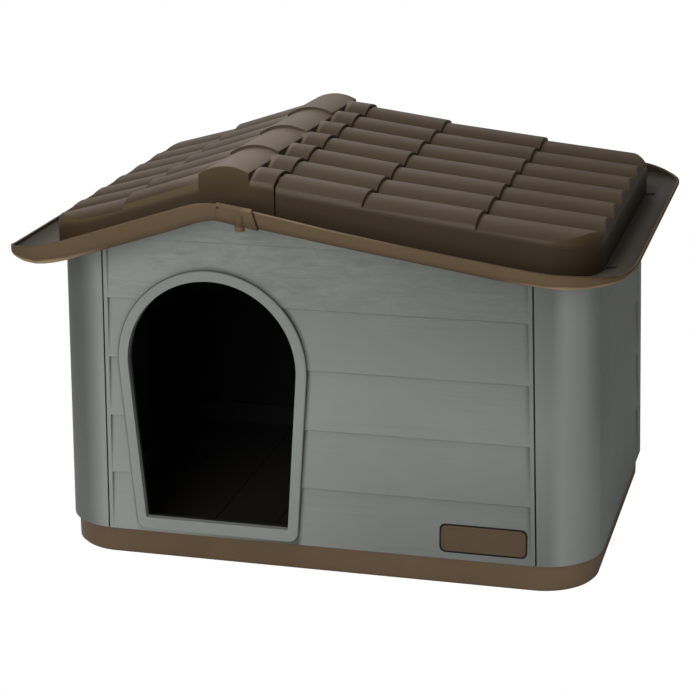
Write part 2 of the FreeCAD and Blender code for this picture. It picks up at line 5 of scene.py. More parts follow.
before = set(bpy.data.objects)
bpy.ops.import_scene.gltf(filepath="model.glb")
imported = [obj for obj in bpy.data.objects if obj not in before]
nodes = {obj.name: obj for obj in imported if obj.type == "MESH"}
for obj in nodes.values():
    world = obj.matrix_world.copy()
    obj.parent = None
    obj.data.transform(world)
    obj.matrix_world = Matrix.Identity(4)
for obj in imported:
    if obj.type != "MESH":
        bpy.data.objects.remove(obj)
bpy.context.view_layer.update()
print("frame loaded:", ", ".join(sorted(nodes)))


class Wire:  # a socket that can be used in sums
    def __init__(self, finish, socket):
        self.finish = finish
        self.socket = socket

    def out(self, name):
        return Wire(self.finish, self.socket.node.outputs[name])

    def math(self, operation, other, swapped=False):
        first, second = (other, self) if swapped else (self, other)
        return self.finish.node("ShaderNodeMath", {"operation": operation}, {0: first, 1: second})

    def __add__(self, other):
        return self.math("ADD", other)

    def __sub__(self, other):
        return self.math("SUBTRACT", other)

    def __rsub__(self, other):
        return self.math("SUBTRACT", other, True)

    def __mul__(self, other):
        return self.math("MULTIPLY", other)

    def __truediv__(self, other):
        return self.math("DIVIDE", other)

    __radd__ = __add__
    __rmul__ = __mul__


class Finish:  # the nodes of one material, or of the world
    def __init__(self, owner):
        self.owner = owner
        owner.use_nodes = True
        self.tree = owner.node_tree
        self.tree.nodes.clear()

    def node(self, kind, settings, sockets, output=0):
        made = self.tree.nodes.new(kind)
        for key, value in settings.items():
            if key == "stops":
                ramp = made.color_ramp.elements
                while len(ramp) < len(value):
                    ramp.new(0.5)
                for stop, (place, shade) in zip(ramp, value):
                    stop.position = place
                    stop.color = (shade, shade, shade, 1.0)
            else:
                setattr(made, key, value)
        for key, value in sockets.items():
            if isinstance(value, Wire):
                self.tree.links.new(value.socket, made.inputs[key])
            else:
                made.inputs[key].default_value = value
        return Wire(self, made.outputs[output]) if made.outputs else None

    def places(self):
        return self.node("ShaderNodeTexCoord", {}, {}, "Object")

    def facing(self):
        return self.node("ShaderNodeTexCoord", {}, {}, "Normal")

    def split(self, vector):
        parts = self.node("ShaderNodeSeparateXYZ", {}, {0: vector}, "X")
        return parts, parts.out("Y"), parts.out("Z")

    def gather(self, x, y, z):
        return self.node("ShaderNodeCombineXYZ", {}, {0: x, 1: y, 2: z})

    def stretch(self, vector, scale):
        return self.node("ShaderNodeVectorMath", {"operation": "MULTIPLY"}, {0: vector, 1: scale})

    def noise(self, vector, scale, detail=2.0, rough=0.5, distortion=0.0):
        values = {"Vector": vector, "Scale": scale, "Detail": detail, "Roughness": rough,
                  "Distortion": distortion}
        return self.node("ShaderNodeTexNoise", {}, values, "Fac")

    def ramp(self, wire, stops):
        return self.node("ShaderNodeValToRGB", {"stops": stops}, {0: wire})

    def above(self, wire, edge, width):  # 0 below the edge, 1 above it
        values = {"Value": wire, "From Min": edge - width / 2, "From Max": edge + width / 2}
        return self.node("ShaderNodeMapRange", {"clamp": True}, values)

    def below(self, wire, edge, width):
        return 1 - self.above(wire, edge, width)

    def fade(self, wire, edge, width, change, start=0.0):  # the change is added above the edge
        return self.above(wire, edge, width) * change + start

    def near(self, wire, reach):  # 1 at nought and below, 0 from the reach on
        return self.below(wire, reach / 2, reach)

    def size(self, wire):
        return self.node("ShaderNodeMath", {"operation": "ABSOLUTE"}, {0: wire})

    def floor(self, wire):
        return self.node("ShaderNodeMath", {"operation": "FLOOR"}, {0: wire})

    def highest(self, first, second):
        return self.node("ShaderNodeMath", {"operation": "MAXIMUM"}, {0: first, 1: second})

    def length(self, x, y):
        flat = self.gather(x, y, 0.0)
        return self.node("ShaderNodeVectorMath", {"operation": "LENGTH"}, {0: flat}, "Value")

    def depth(self, x, y, halfX, halfY, corner):  # how far inside a rounded plan
        pastX = self.highest(self.size(x) - (halfX - corner), 0.0)
        pastY = self.highest(self.size(y) - (halfY - corner), 0.0)
        return corner - self.length(pastX, pastY)

    def riseLine(self, x, points):  # height at x of a line drawn through points
        span, top = 0.64, 0.08
        stops = [(pointX / span + 0.5, pointZ / top) for pointX, pointZ in points]
        return self.ramp(x / span + 0.5, stops) * top

    def colours(self, factor, first, second):
        return self.node("ShaderNodeMix", {"data_type": "RGBA"}, {0: factor, 6: first, 7: second}, 2)

    def bump(self, height, distance, normal):
        values = {"Height": height, "Distance": distance, "Strength": 1.0, "Normal": normal}
        return self.node("ShaderNodeBump", {}, values)

    def softEdges(self, radius):
        return self.node("ShaderNodeBevel", {"samples": 6}, {"Radius": radius})

    def close(self, colour, roughness, normal, settings):
        values = {"Base Color": colour, "Roughness": roughness, "Normal": normal}
        values.update(settings)
        shader = self.node("ShaderNodeBsdfPrincipled", {}, values)
        self.node("ShaderNodeOutputMaterial", {}, {"Surface": shader})
        return self.owner


def newFinish(name):
    return Finish(bpy.data.materials.new(name))


def tint(red, green, blue):  # screen values to the linear colour of a socket
    def linear(value):
        value /= 255.0
        return value / 12.92 if value <= 0.04045 else ((value + 0.055) / 1.055) ** 2.4
    return (linear(red), linear(green), linear(blue), 1.0)


def dress(names, material):
    for name in names:
        mesh = nodes[name].data
        mesh.materials.clear()
        mesh.materials.append(material)


# Lengths are in metres. A mask's edge is given by its place and width, and a value that fades
# over an edge also by the change that it adds there and by its start.
blur = 0.0004  # width of a crisp edge
wideBlur = 0.001  # width of an edge that needs no crispness

wallLook = {
    "colour": (138, 142, 137),
    # the shade colour takes the darker tone of grain and clouds, and painted shade as well
    "shadeColour": (92, 95, 91),
    # deep painted shade, for creases and the left round corner
    "deepShadeColour": (62, 64, 62),
    # painted shade in the seams and the recess of the plate, and inside the cabin, lighter high up
    "hollowShadeColour": (20, 21, 20),
    "insideShadeColour": (5, 5, 5),
    "insideTopColour": (84, 87, 84),
    "insideTopZ": (0.225, 0.12),
    "roughness": 0.50,
    "grainRoughness": 0.06,
    "cloudRoughness": 0.06,
    "insideRoughness": 0.5,
    "specular": 0.45,
    "edgeRadius": 0.0011,
    # plan and lean of the walls, and the seams beside the front and rear walls
    "halfX": 0.2764,
    "halfY": 0.199,
    "corner": 0.060,
    "draft": 0.024,
    "skinDepth": (0.0038, 0.0006),
    "seamX": 0.2197,
    "seamReach": 0.0011,
    "seamDepth": 0.0005,
    # lapped boards
    "boardFootZ": 0.028,
    "boardPitch": 0.06115,
    "boardFaceY": 0.1992,
    "boardMargin": 0.0048,
    "sideBoardFrontY": -0.151,
    "sideBoardRearY": 0.120,
    "flatFace": (0.9, 0.1),
    # moulded wood grain, shifted along x and y from board to board
    "rowShift": (1.37, 0.61),
    "bendStretch": (4.0, 4.0, 26.0),
    "bendRise": 0.034,
    "lineStretch": (8.0, 8.0, 460.0),
    "grooves": [(0.34, 0.0), (0.50, 0.8), (0.66, 1.0)],
    "patchStretch": (9.0, 9.0, 22.0),
    "patches": [(0.42, 0.15), (0.68, 1.0)],
    "grainDepth": 0.00006,
    "skinScale": 2100.0,
    "skinShare": 0.14,
    "boardSkinLoss": 0.6,
    "waveScale": 13.0,
    "waveDepth": 0.0012,
    # brushed clouds on the gable board
    "brushStretch": (46.0, 46.0, 150.0),
    "gableZ": (0.272, 0.016),
    "gableRight": (0.02, 0.20, -0.55, 1.0),
    "gableBrush": 0.95,
    "boardBrush": 0.04,
    "cloudScale": 6.0,
    "cloudShade": 0.35,
    "grainShade": 0.10,
    "gableGrainShade": 0.16,
    # front wall: painted shade darker to the right, both high and low, and painted light under the brim
    "frontHalf": (0.0, 0.1),
    "frontEndX": 0.231,
    "frontEndReach": 0.012,
    "rightX": (0.02, 0.40),
    "rightHigh": (0.23, 0.14, 0.66, 0.30),
    "lowRightX": (-0.02, 0.20, 0.46),
    "lowZ": (0.10, 0.16),
    "brimReach": 0.022,
    "brimLight": 0.30,
    # painted shade on the side walls and their round corners, by the way they face
    "leftTurn": (0.30, 0.36, 0.94),
    "leftSide": (0.75, 0.50, 0.20),
    "rightTurn": (0.9, 0.2),
    "rightSideHigh": (0.13, 0.12, 0.60, 0.02),
    "leftRoundStart": (0.24, 0.30),
    "leftRoundEnd": (0.80, 0.20),
    "leftRoundHigh": (0.14, 0.16, 0.144, 0.096),
    # raised frame of the doorway, which has painted shade of its own
    "doorX": -0.1035,
    "doorZ": 0.209,
    "doorLean": 4.2,
    "frameRadius": 0.0969,
    "frameProud": 0.0003,
    "frameHalfX": 0.11,
    "frameLeft": (0.05, 0.06, 0.32, 0.24),
    # painted shade in creases: how far it reaches and how strong it is
    "lapReach": 0.0014,
    "lapShade": 0.55,
    "endReach": 0.0024,
    "rightEndReach": 0.0056,
    "rightEndX": (0.0, 0.1),
    "endShade": 0.80,
    "frameReach": 0.0040,
    "frameEdgeReach": 0.0014,
    "frameEdgeFace": (0.5, 0.4),
    "frameRight": (0.02, 0.12, 0.85, 0.15),
    "frameShade": 0.85,
    # recess of the plate, painted dark as shade
    "recessX": 0.1675,
    "recessZ": 0.0496,
    "recessHalfX": 0.0434,
    "recessHalfZ": 0.0148,
    "recessCorner": 0.0062,
    "recessReach": 0.01,
}


def boardMasks(f, x, y, nx, ny, shrink):  # where the end and side boards are
    look = wallLook
    endGap = look["seamX"] - look["boardMargin"] - shrink - f.size(x)
    onEnd = f.above(f.size(ny), *look["flatFace"]) * f.below(f.size(y), look["boardFaceY"], blur)
    onEnd = onEnd * f.above(endGap, 0.0, blur)
    onSide = f.above(f.size(nx), *look["flatFace"]) * f.above(y, look["sideBoardFrontY"], blur)
    onSide = onSide * f.below(y, look["sideBoardRearY"], blur)
    return onEnd, onSide, endGap


def woodGrain(f, place, row):  # grooves that bend a little, stronger in patches
    look = wallLook
    x, y, z = place
    shiftX, shiftY = look["rowShift"]
    along = f.gather(x + row * shiftX, y + row * shiftY, z)
    bend = f.noise(f.stretch(along, look["bendStretch"]), 1.0)
    alongX, alongY, alongZ = f.split(along)
    bent = f.gather(alongX, alongY, alongZ + bend * look["bendRise"])
    lines = f.noise(f.stretch(bent, look["lineStretch"]), 1.0, detail=3.0, rough=0.6)
    patch = f.ramp(f.noise(f.stretch(along, look["patchStretch"]), 1.0), look["patches"])
    grain = 1 - (1 - f.ramp(lines, look["grooves"])) * patch
    brushed = f.noise(f.stretch(bent, look["brushStretch"]), 1.0, detail=3.0, rough=0.7,
                      distortion=0.6)
    return grain, brushed


def wallShade(f, place, nx, onEnd, onSide, grain, brushed, cloud):
    look = wallLook
    x, y, z = place
    boards = onEnd + onSide
    gable = f.above(z, *look["gableZ"]) * onEnd * f.fade(x, *look["gableRight"])
    # painted shade: the front wall darker to the right, high and low; the left corner and the right side
    # darker by the way they face
    onFront = f.near(f.size(x) - look["frontEndX"], look["frontEndReach"])
    onFront = onFront * f.below(y, *look["frontHalf"])
    low = f.below(z, *look["lowZ"]) * f.fade(x, *look["lowRightX"])
    paintedShade = (f.above(x, *look["rightX"]) * f.fade(z, *look["rightHigh"]) + low) * onFront
    paintedShade = paintedShade + f.fade(0 - nx, *look["leftTurn"]) + f.fade(0 - nx, *look["leftSide"])
    paintedShade = paintedShade + f.above(nx, *look["rightTurn"]) * f.fade(z, *look["rightSideHigh"])
    toneAndShade = (1 - grain) * boards * (gable * look["gableGrainShade"] + look["grainShade"])
    toneAndShade = toneAndShade + (cloud - 0.5) * look["cloudShade"] + paintedShade
    toneAndShade = toneAndShade + (brushed - 0.5) * (gable * look["gableBrush"] + boards * look["boardBrush"])
    # painted light: the front wall lighter in a strip under the brim
    brimZ = f.riseLine(x, roofLook["bandFoot"]) + roofLook["footZ"]
    toneAndShade = toneAndShade - f.near(brimZ - z, look["brimReach"]) * onFront * look["brimLight"]
    # the raised frame of the doorway has painted shade of its own, darker on its left
    raised = f.above(f.size(y), look["boardFaceY"] + look["frameProud"], blur)
    raised = raised * f.near(f.size(x - look["doorX"]), look["frameHalfX"])
    toneAndShade = toneAndShade * (1 - raised) + raised * f.fade(look["doorX"] - x, *look["frameLeft"])
    colour = f.colours(toneAndShade, tint(*look["colour"]), tint(*look["shadeColour"]))
    # painted shade: the left round corner darker towards its top
    leftRoundShade = f.above(0 - nx, *look["leftRoundStart"]) * f.below(0 - nx, *look["leftRoundEnd"])
    leftRoundShade = leftRoundShade * f.fade(z, *look["leftRoundHigh"])
    return f.colours(leftRoundShade, colour, tint(*look["deepShadeColour"]))


def wallCreaseShade(f, place, ny, onEnd, onSide, endGap, climb):
    look = wallLook
    x, y, z = place
    # painted shade under the laps and at the ends of the boards, farther in on the right
    lap = f.near((1 - climb) * look["boardPitch"], look["lapReach"]) * (onEnd + onSide)
    sideGap = f.near(y - look["sideBoardFrontY"], look["endReach"])
    sideGap = sideGap + f.near(look["sideBoardRearY"] - y, look["endReach"])
    reach = f.fade(x, *look["rightEndX"], look["rightEndReach"] - look["endReach"], look["endReach"])
    ends = (f.near(endGap / reach, 1.0) * onEnd + sideGap * onSide) * climb
    # painted shade beside the door frame, whose straight sides lean, stronger on its right
    lean = math.radians(look["doorLean"])
    aside = f.size(x - look["doorX"])
    rise = z - look["doorZ"]
    across = aside * math.cos(lean) - rise * math.sin(lean)
    up = f.highest(aside * math.sin(lean) + rise * math.cos(lean), 0.0)
    fromFrame = f.length(across, up) - look["frameRadius"]
    beside = f.near(fromFrame, look["frameReach"]) * onEnd * f.below(y, *look["frontHalf"])
    edge = f.near(f.size(fromFrame), look["frameEdgeReach"]) * f.below(f.size(ny), *look["frameEdgeFace"])
    framed = (beside + edge) * f.fade(x - look["doorX"], *look["frameRight"])
    creaseShade = f.highest(lap * look["lapShade"], ends * look["endShade"])
    return f.highest(creaseShade, framed * look["frameShade"])


def wallFinish():
    look = wallLook
    f = newFinish("greyPlastic")
    place = f.split(f.places())
    nx, ny = f.split(f.facing())[:2]
    x, y, z = place
    shrink = (z - look["boardFootZ"]) * look["draft"]
    # boards only: the round corners, the seams and the door frame stay smooth
    onEnd, onSide, endGap = boardMasks(f, x, y, nx, ny, shrink)
    boards = onEnd + onSide
    boardZ = (z - look["boardFootZ"]) / look["boardPitch"]
    row = f.floor(boardZ)
    climb = boardZ - row
    grain, brushed = woodGrain(f, place, row)
    skin = f.noise(f.places(), look["skinScale"], rough=0.6)
    waves = f.noise(f.places(), look["waveScale"], detail=1.0)
    height = grain * boards + skin * (1 - boards * look["boardSkinLoss"]) * look["skinShare"]
    normal = f.bump(waves, look["waveDepth"], f.softEdges(look["edgeRadius"]))
    normal = f.bump(height, look["grainDepth"], normal)
    cloud = f.noise(f.places(), look["cloudScale"], detail=3.0, rough=0.55)
    colour = wallShade(f, place, nx, onEnd, onSide, grain, brushed, cloud)
    # painted shade in creases, under the laps, at the board ends and beside the door frame
    creaseShade = wallCreaseShade(f, place, ny, onEnd, onSide, endGap, climb)
    colour = f.colours(creaseShade, colour, tint(*look["deepShadeColour"]))
    # painted shade: dark inside the seams, the recess of the plate and the cabin, lighter high in the cabin
    depth = f.depth(x, y, look["halfX"] - shrink, look["halfY"], look["corner"])
    seam = f.near(f.size(f.size(x) - look["seamX"] + shrink) - look["seamReach"], blur / 2)
    seam = seam * f.above(depth, look["seamDepth"], blur)
    inRecess = f.depth(x - look["recessX"], z - look["recessZ"], look["recessHalfX"],
                       look["recessHalfZ"], look["recessCorner"])
    inRecess = f.above(inRecess, 0.0, blur / 2) * f.near(y, look["recessReach"])
    colour = f.colours(f.highest(seam, inRecess), colour, tint(*look["hollowShadeColour"]))
    inside = f.above(depth, *look["skinDepth"])
    insideShade = f.colours(f.above(z, *look["insideTopZ"]), tint(*look["insideShadeColour"]),
                           tint(*look["insideTopColour"]))
    colour = f.colours(inside, colour, insideShade)
    roughness = look["roughness"] + grain * boards * look["grainRoughness"]
    roughness = roughness + (cloud - 0.5) * look["cloudRoughness"] + inside * look["insideRoughness"]
    return f.close(colour, roughness, normal, {"Specular IOR Level": look["specular"]})


roofLook = {
    "colour": (56, 42, 23),
    "sheenColour": (94, 80, 66),
    "ridgeHighlightColour": (118, 104, 90),
    "uprightLightColour": (104, 87, 50),
    "brimReflectionColour": (92, 83, 73),
    "brimEdgeShadeColour": (48, 42, 36),
    "bandColour": (106, 85, 59),
    "bandFootShadeColour": (68, 52, 33),
    "lipHighlightColour": (160, 136, 106),
    "holeShadeColour": (8, 6, 4),
    "roughness": 0.46,
    "sheenRoughness": 0.06,
    "pebbleRoughness": 0.08,
    "brimRoughness": 0.2,
    "specular": 0.30,
    "edgeRadius": 0.0022,
    "skinScale": 1700.0,
    "pebbleScale": 620.0,
    "pebbleShare": 0.5,
    "skinDepth": 0.00010,
    "waveScale": 9.0,
    "waveDepth": 0.0012,
    "cloudScale": 9.0,
    # plan of the brim and of the tiled box
    "halfX": 0.3044,
    "halfY": 0.2467,
    "cornerLeft": 0.050,
    "cornerFrontRight": 0.094,
    "cornerRearRight": 0.064,
    "boxHalfX": 0.273,
    "boxHalfY": 0.1986,
    "boxCorner": 0.048,
    # faces that look up carry painted sheen, less on the left and to the front; the top of the ridge a
    # painted highlight
    "sheenUp": (0.62, 0.7),
    "sheenFront": (0.26, 0.4, -0.85, 1.0),
    "sheenLeft": (0.28, 0.16, -0.28, 1.0),
    "sheenClouds": [(0.28, 0.68), (0.74, 1.0)],
    "ridgeZ": (0.392, 0.016),
    "ridgeEndX": -0.0575,
    "ridgeEndReach": 0.002,
    "ridgeSheen": 0.45,
    "ridgeUp": (0.85, 0.2),
    "ridgeTint": 0.6,
    "besideRidgeX": 0.06,
    "besideRidgeReach": 0.10,
    "besideRidgeLoss": 0.16,
    "besideRidgeBlur": 0.004,
    "leftSlope": (0.15, 0.10),
    "leftRear": (0.02, 0.30, 0.22, -0.14),
    # upright side of the tiled box: painted light, lighter towards its top, less to the right of the seam
    "outward": (0.02, 0.02),
    "upright": (0.85, 0.2),
    "uprightLightRise": (0.014, 0.036),
    "uprightLightRight": (-0.050, 0.02, -0.448, 0.7),
    "highZ": (0.380, 0.012),
    "behindFrontY": (-0.15, 0.02),
    # floor of the brim: painted reflection of the sky, with painted shade darker near its edge
    "brimUp": (0.75, 0.3),
    "brimDepth": (0.016, 0.024),
    # band round the brim: its underside and crest, as x and height above the roof's lowest point
    "footZ": 0.310,
    "bandFoot": [(-0.310, 0.011), (-0.290, 0.0048), (-0.262, 0.0), (-0.230, 0.0053), (-0.125, 0.0391),
                 (-0.101, 0.0477), (-0.081, 0.052), (-0.056, 0.0492), (0.032, 0.0345), (0.189, 0.010),
                 (0.232, 0.0049), (0.265, 0.0038), (0.297, 0.0094), (0.310, 0.0148)],
    "bandCrest": [(-0.310, 0.0125), (-0.272, 0.016), (-0.246, 0.0206), (-0.1125, 0.0634),
                  (-0.0828, 0.0684), (-0.039, 0.062), (0.032, 0.0486), (0.0984, 0.0376), (0.191, 0.0237),
                  (0.238, 0.0174), (0.276, 0.0147), (0.290, 0.0136), (0.310, 0.0176)],
    "gutterClimb": 0.135,
    "bandDepth": (0.0021, 0.0006),
    "bandBulge": 0.0008,
    "bandLeast": 0.004,
    # heights on the band run from 0 at its underside to 1 at its crest
    # painted shade: darker except at the round corners on the right, and darker still towards the underside
    "bandUnder": (-0.12, 0.1),
    "bandLight": (0.2, 0.3),
    "bandShadeShare": 0.40,
    "bandClouds": 0.35,
    "straightX": (0.215, 0.06),
    # painted highlight on the lip: along the crest in front, under the band at the round corners
    "lipCrest": (0.93, 0.08),
    "lipEndX": (0.06, 0.12),
    "sleeveEnd": (-0.045, 0.02, 0.595, 0.105),
    "lipFootTop": (0.12, 0.14),
    "lipFootUnder": (-0.2, 0.05),
    # drain slots, and the dimple on the sleeve of the front gutter, painted dark as shade in the holes
    "drainX": 0.2785,
    "drainY": 0.151,
    "drainHalfX": 0.0041,
    "drainHalfY": 0.0031,
    "drainShadeReach": 0.0014,
    "pitX": -0.0753,
    "pitY": -0.2470,
    "pitZ": 0.3815,
    "pitRadius": 0.0009,
    "pitShadeReach": 0.0005,
}


def sheenOnTiles(f, place, face, onBox, cloud):
    look = roofLook
    x, y, z = place
    nx, ny, nz = face
    # painted sheen on faces that look up, and a painted highlight on the top of the ridge
    paintedSheen = f.above(nz, *look["sheenUp"]) * f.fade(0 - ny, *look["sheenFront"]) * onBox
    paintedSheen = paintedSheen * f.fade(0 - nx, *look["sheenLeft"]) * f.ramp(cloud, look["sheenClouds"])
    ridge = f.above(z, *look["ridgeZ"]) * f.near(x - look["ridgeEndX"], look["ridgeEndReach"])
    beside = f.above(x, look["ridgeEndX"], look["besideRidgeBlur"])
    beside = beside * f.near(x - look["besideRidgeX"], look["besideRidgeReach"])
    paintedSheen = paintedSheen * (ridge * look["ridgeSheen"] - beside * look["besideRidgeLoss"] + 1)
    left = f.above(0 - nx, *look["leftSlope"]) * f.fade(y, *look["leftRear"]) * onBox
    colour = f.colours(paintedSheen + left, tint(*look["colour"]), tint(*look["sheenColour"]))
    ridgeHighlight = ridge * f.above(nz, *look["ridgeUp"]) * look["ridgeTint"]
    return f.colours(ridgeHighlight, colour, tint(*look["ridgeHighlightColour"])), paintedSheen


def gutterBand(f, x, right, upBand, cloud):
    look = roofLook
    atCorner = f.above(f.size(x), *look["straightX"])
    under = f.above(upBand, *look["bandUnder"])
    light = f.highest(f.above(upBand, *look["bandLight"]), 1 - under)
    # painted shade on the band, darker towards its underside
    bandShade = ((1 - atCorner * right) * under + (1 - light)) * look["bandShadeShare"]
    colour = f.colours(bandShade, tint(*look["bandColour"]), tint(*look["bandFootShadeColour"]))
    # painted highlight on the lip
    crest = f.above(upBand, *look["lipCrest"]) * f.below(x, *look["lipEndX"]) * (1 - atCorner)
    crest = crest * f.fade(x, *look["sleeveEnd"])
    foot = f.below(upBand, *look["lipFootTop"]) * f.above(upBand, *look["lipFootUnder"]) * atCorner
    colour = f.colours(f.highest(crest, foot), colour, tint(*look["lipHighlightColour"]))
    return f.colours(cloud * look["bandClouds"], colour, tint(*look["colour"]))


def holeShade(f, place):
    look = roofLook
    x, y, z = place
    # painted shade in the drain slots and in the pit
    drain = f.near(f.size(x - look["drainX"]) - look["drainHalfX"], look["drainShadeReach"])
    drain = drain * f.near(f.size(f.size(y) - look["drainY"]) - look["drainHalfY"], look["drainShadeReach"])
    fromPit = f.length(x - look["pitX"], z - look["pitZ"]) - look["pitRadius"]
    pit = f.near(fromPit, look["pitShadeReach"]) * f.below(y, look["pitY"], wideBlur)
    return f.highest(drain, pit)


def roofFinish():
    look = roofLook
    f = newFinish("roofPlastic")
    place = f.split(f.places())
    face = f.split(f.facing())
    x, y, z = place
    nx, ny, nz = face
    skin = f.noise(f.places(), look["skinScale"], rough=0.6)
    pebble = f.noise(f.places(), look["pebbleScale"])
    waves = f.noise(f.places(), look["waveScale"], detail=1.0)
    normal = f.bump(waves, look["waveDepth"], f.softEdges(look["edgeRadius"]))
    skin = skin * (1 - look["pebbleShare"]) + pebble * look["pebbleShare"]
    normal = f.bump(skin, look["skinDepth"], normal)
    cloud = f.noise(f.places(), look["cloudScale"], detail=4.0, rough=0.6)
    onBox = f.depth(x, y, look["boxHalfX"], look["boxHalfY"], look["boxCorner"])
    onBox = f.above(onBox, 0.0, wideBlur)
    colour, paintedSheen = sheenOnTiles(f, place, face, onBox, cloud)
    # the floor of the brim, with a painted reflection and painted shade near its edge; its corners are
    # rounder on the right
    right = f.above(x, 0.0, wideBlur)
    rear = f.above(y, 0.0, wideBlur)
    rightCorner = look["cornerFrontRight"] - rear * (look["cornerFrontRight"] - look["cornerRearRight"])
    corner = look["cornerLeft"] + right * (rightCorner - look["cornerLeft"])
    depth = f.depth(x, y, look["halfX"], look["halfY"], corner)
    brimReflection = f.colours(f.above(depth, *look["brimDepth"]), tint(*look["brimEdgeShadeColour"]),
                         tint(*look["brimReflectionColour"]))
    colour = f.colours(f.above(nz, *look["brimUp"]) * (1 - onBox), colour, brimReflection)
    # the band climbs outwards in front and behind, as the gutter does
    climb = f.highest(f.size(y) - look["boxHalfY"], 0.0) * look["gutterClimb"]
    foot = f.riseLine(x, look["bandFoot"]) + climb + look["footZ"]
    crest = f.riseLine(x, look["bandCrest"]) + climb + look["footZ"]
    # painted light on upright outward faces above the crest, lighter towards their top, less to the right
    uprightLight = f.above(z - crest, *look["uprightLightRise"]) * f.above(f.size(nx) + f.size(ny), *look["upright"])
    uprightLight = uprightLight * f.above(x * nx + y * ny, *look["outward"]) * f.fade(x, *look["uprightLightRight"])
    uprightLight = uprightLight * (1 - f.above(z, *look["highZ"]) * f.above(y, *look["behindFrontY"]))
    colour = f.colours(uprightLight * onBox * (1 - paintedSheen), colour, tint(*look["uprightLightColour"]))
    # the band is slightly barrelled: -1 at its underside, 1 at its crest
    band = f.below(depth, *look["bandDepth"])
    upBand = (z - foot) / f.highest(crest - foot, look["bandLeast"])
    fromMiddle = f.above(upBand, 0.5, 1.0) * 2 - 1
    normal = f.bump((1 - fromMiddle * fromMiddle) * band, look["bandBulge"], normal)
    colour = f.colours(band, colour, gutterBand(f, x, right, upBand, cloud))
    colour = f.colours(holeShade(f, place), colour, tint(*look["holeShadeColour"]))
    roughness = look["roughness"] + paintedSheen * look["sheenRoughness"]
    roughness = roughness + (pebble - 0.5) * look["pebbleRoughness"] + (1 - onBox) * look["brimRoughness"]
    return f.close(colour, roughness, normal, {"Specular IOR Level": look["specular"]})


trayLook = {
    "colour": (90, 70, 45),
    "wearAndHighlightColour": (120, 98, 72),
    "insideShadeColour": (30, 22, 14),
    "rearShadeColour": (6, 4, 3),
    "roughness": 0.48,
    "cloudRoughness": 0.12,
    "insideRoughness": 0.4,
    "specular": 0.45,
    "edgeRadius": 0.0014,
    "skinScale": 1900.0,
    "skinDepth": 0.00008,
    "waveScale": 14.0,
    "waveDepth": 0.0008,
    "cloudScale": 12.0,
    "wornClouds": [(0.38, 0.0), (0.75, 1.0)],
    "wornShare": 0.3,
    "rightCornerHighlight": (0.235, 0.07, 0.8),
    "rearY": (0.05, 0.16),
    "halfX": 0.272,
    "halfY": 0.1946,
    "corner": 0.056,
    "insideDepth": 0.0135,
}


def trayFinish():
    look = trayLook
    f = newFinish("brownPlastic")
    x, y = f.split(f.places())[:2]
    skin = f.noise(f.places(), look["skinScale"], rough=0.6)
    waves = f.noise(f.places(), look["waveScale"], detail=1.0)
    normal = f.bump(waves, look["waveDepth"], f.softEdges(look["edgeRadius"]))
    normal = f.bump(skin, look["skinDepth"], normal)
    # worn a little all over at random, and lighter at the right corner as a painted highlight
    cloud = f.noise(f.places(), look["cloudScale"], detail=4.0, rough=0.6)
    wearAndHighlight = f.ramp(cloud, look["wornClouds"]) * look["wornShare"] + f.fade(x, *look["rightCornerHighlight"])
    colour = f.colours(wearAndHighlight, tint(*look["colour"]), tint(*look["wearAndHighlightColour"]))
    # painted shade inside the tray, darker to the rear
    depth = f.depth(x, y, look["halfX"], look["halfY"], look["corner"])
    inside = f.above(depth, look["insideDepth"], wideBlur)
    insideShade = f.colours(f.above(y, *look["rearY"]), tint(*look["insideShadeColour"]),
                           tint(*look["rearShadeColour"]))
    colour = f.colours(inside, colour, insideShade)
    roughness = look["roughness"] + (cloud - 0.5) * look["cloudRoughness"]
    roughness = roughness + inside * look["insideRoughness"]
    return f.close(colour, roughness, normal, {"Specular IOR Level": look["specular"]})


plateLook = {
    "colour": (76, 57, 30),
    "edgeColour": (88, 67, 38),
    "cloudShare": 0.6,
    "cloudScale": 40.0,
    "roughness": 0.40,
    "brushRoughness": 0.15,
    "edgeRadius": 0.0006,
    "skinScale": 2600.0,
    "skinDepth": 0.00006,
    "brushStretch": (60.0, 60.0, 1300.0),
    "brushShare": 0.4,
}


def plateFinish():
    look = plateLook
    f = newFinish("platePlastic")
    skin = f.noise(f.places(), look["skinScale"], rough=0.6)
    brushed = f.noise(f.stretch(f.places(), look["brushStretch"]), 1.0)
    skin = skin * (1 - look["brushShare"]) + brushed * look["brushShare"]
    normal = f.bump(skin, look["skinDepth"], f.softEdges(look["edgeRadius"]))
    cloud = f.noise(f.places(), look["cloudScale"], detail=3.0)
    colour = f.colours(cloud * look["cloudShare"], tint(*look["colour"]), tint(*look["edgeColour"]))
    return f.close(colour, look["roughness"] + (brushed - 0.5) * look["brushRoughness"], normal, {})


pinLook = {
    "colour": (188, 190, 192),
    "stainColour": (150, 150, 150),
    "stainShare": 0.5,
    "stainScale": 260.0,
    "roughness": 0.26,
    "turnedRoughness": 0.14,
    "turnedStretch": (40.0, 2400.0, 40.0),
    "turnedDepth": 0.00004,
    "edgeRadius": 0.0003,
}


def pinFinish():
    look = pinLook
    f = newFinish("pinSteel")
    turned = f.noise(f.stretch(f.places(), look["turnedStretch"]), 1.0)
    normal = f.bump(turned, look["turnedDepth"], f.softEdges(look["edgeRadius"]))
    stain = f.noise(f.places(), look["stainScale"], detail=3.0)
    colour = f.colours(stain * look["stainShare"], tint(*look["colour"]), tint(*look["stainColour"]))
    roughness = look["roughness"] + turned * look["turnedRoughness"]
    return f.close(colour, roughness, normal, {"Metallic": 1.0})


